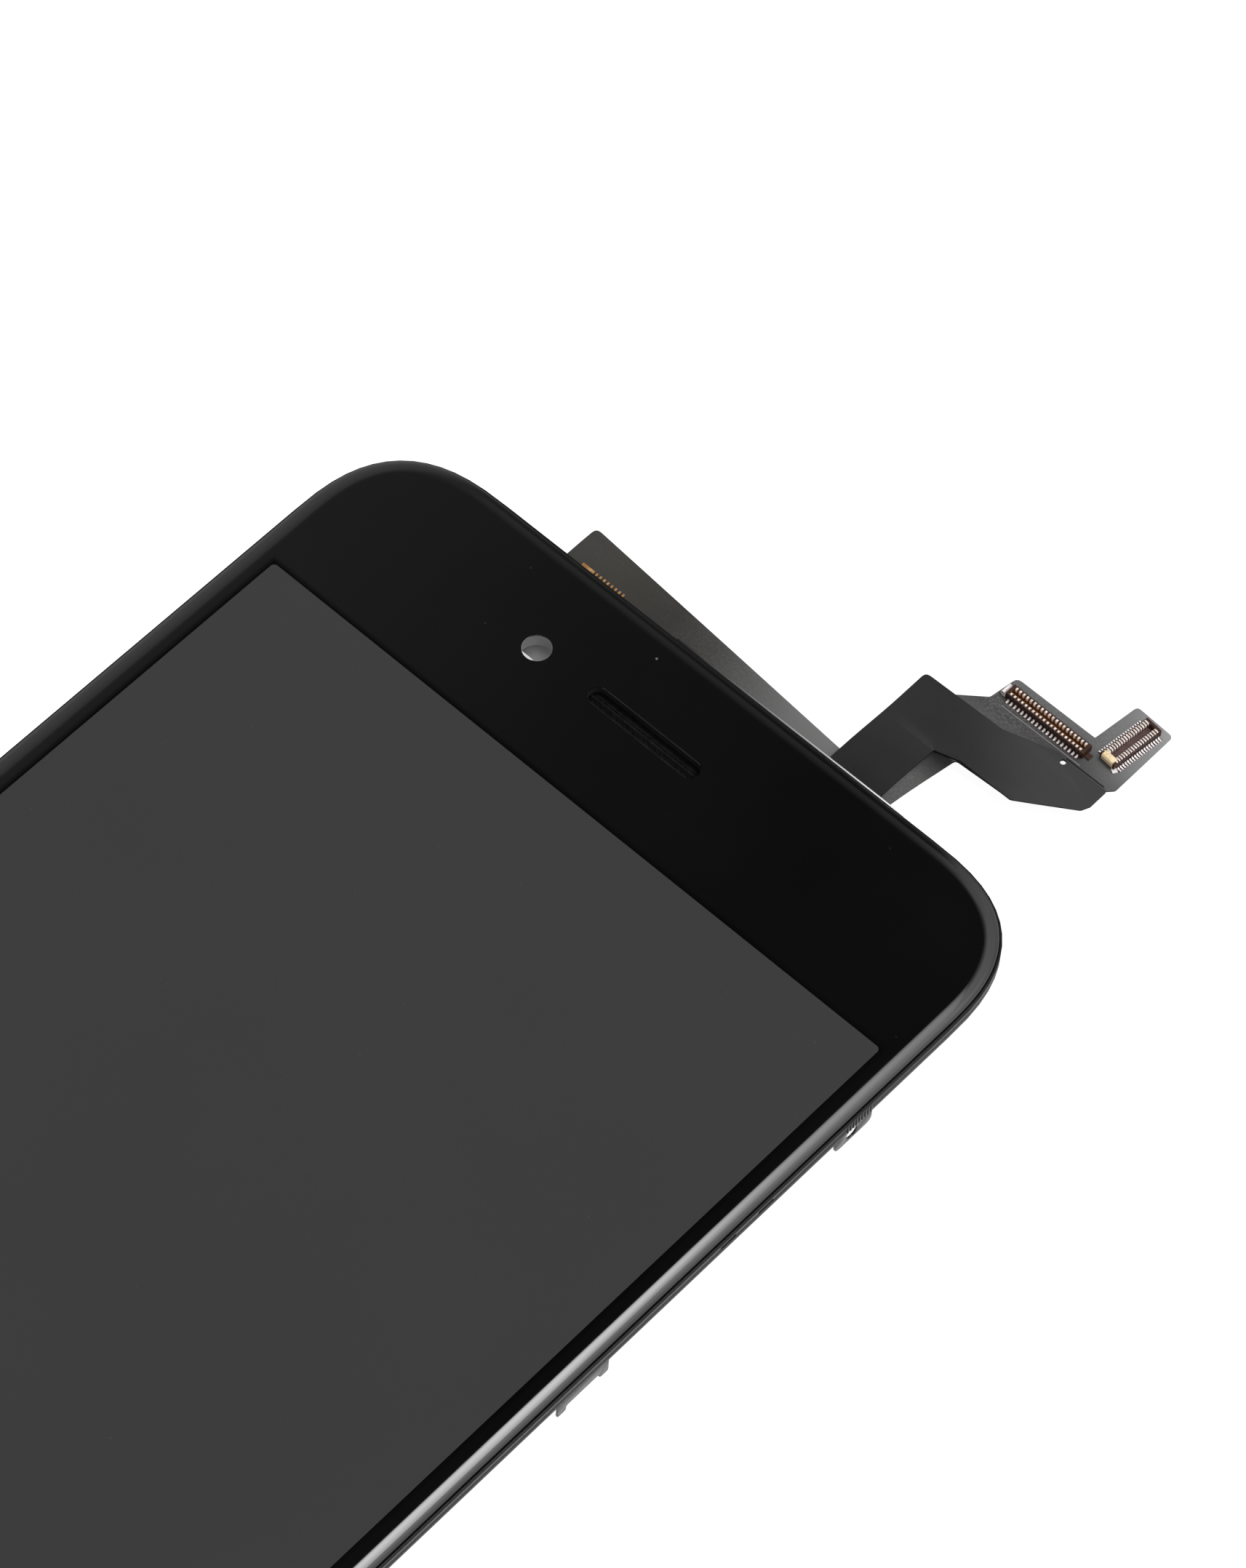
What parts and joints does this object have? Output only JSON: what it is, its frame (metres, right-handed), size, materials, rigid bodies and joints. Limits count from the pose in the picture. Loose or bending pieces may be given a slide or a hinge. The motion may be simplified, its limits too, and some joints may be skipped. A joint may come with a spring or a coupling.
{
  "type": "phone lcd screen assembly",
  "caption": "Slim glass-fronted display panel in a clipped plastic bezel, with a flex tail and board plugs.",
  "frame": {"origin": "centre of the cover glass's front face", "axes": "+X to the right, +Y towards the earpiece and the flex tail, +Z out of the glass"},
  "size_m": [0.0632, 0.1548, 0.0037],
  "materials": {
    "cover_glass": "clear polished glass with an oil-repelling coat, black from the layers behind",
    "clear_layer": "thin clear glass, resin or adhesive",
    "panel_layer": "dark polarizing film",
    "light_film": "white or milky film",
    "black_plastic": "black moulded plastic or print, finely matt",
    "white_plastic": "white moulded plastic",
    "steel": "thin stamped stainless steel",
    "plate_metal": "dark satin metal plate",
    "graphite": "matt dark sheet",
    "rubber": "soft matt black rubber",
    "mesh_metal": "blackened fine wire mesh",
    "film": "grey dust film",
    "gold": "thin gold plate on copper",
    "dark_flex": "black cover film of a flexible circuit, slightly glossy",
    "grey_flex": "dark grey cover film of a flexible circuit",
    "tape": "thin dark double-sided tape",
    "connector_plastic": "brown moulded connector body"
  },
  "bodies": {
    "root": {"array_glass": "clear_layer", "backlight_tray": "steel", "bezel_frame": "black_plastic", "bridge_clip_left_1": "steel", "bridge_clip_left_2": "steel", "bridge_clip_right_1": "steel", "bridge_clip_right_2": "steel", "button_gasket": "rubber", "camera_film": "film", "camera_ring": "steel", "colour_filter_glass": "clear_layer", "connector_1": "connector_plastic", "connector_1_hold_down_a": "gold", "connector_1_hold_down_b": "gold", "connector_2": "connector_plastic", "connector_2_hold_down_a": "gold", "connector_2_hold_down_b": "gold", "contact_row": "gold", "cover_glass": "cover_glass", "diffuser_film": "light_film", "display_flex": "dark_flex", "driver_chip": "black_plastic", "earpiece_holder": "black_plastic", "earpiece_mesh": "mesh_metal", "flex_tape": "tape", "front_polarizer": "panel_layer", "graphite_sheet": "graphite", "ink_border": "black_plastic", "lamp_bar": "white_plastic", "light_frame": "white_plastic", "light_guide": "clear_layer", "loop_clip_left_1": "steel", "loop_clip_left_2": "steel", "loop_clip_left_3": "steel", "loop_clip_right_1": "steel", "loop_clip_right_2": "steel", "loop_clip_right_3": "steel", "optical_adhesive": "clear_layer", "pressure_plate": "plate_metal", "prism_film": "light_film", "rear_polarizer": "panel_layer", "reflector_film": "light_film", "screw_lug_left": "steel", "screw_lug_right": "steel", "sensor_holder": "black_plastic", "tab_stiffener": "steel", "top_hook_1": "steel", "top_hook_2": "steel", "touch_flex": "grey_flex"}
  },
  "joints": []
}
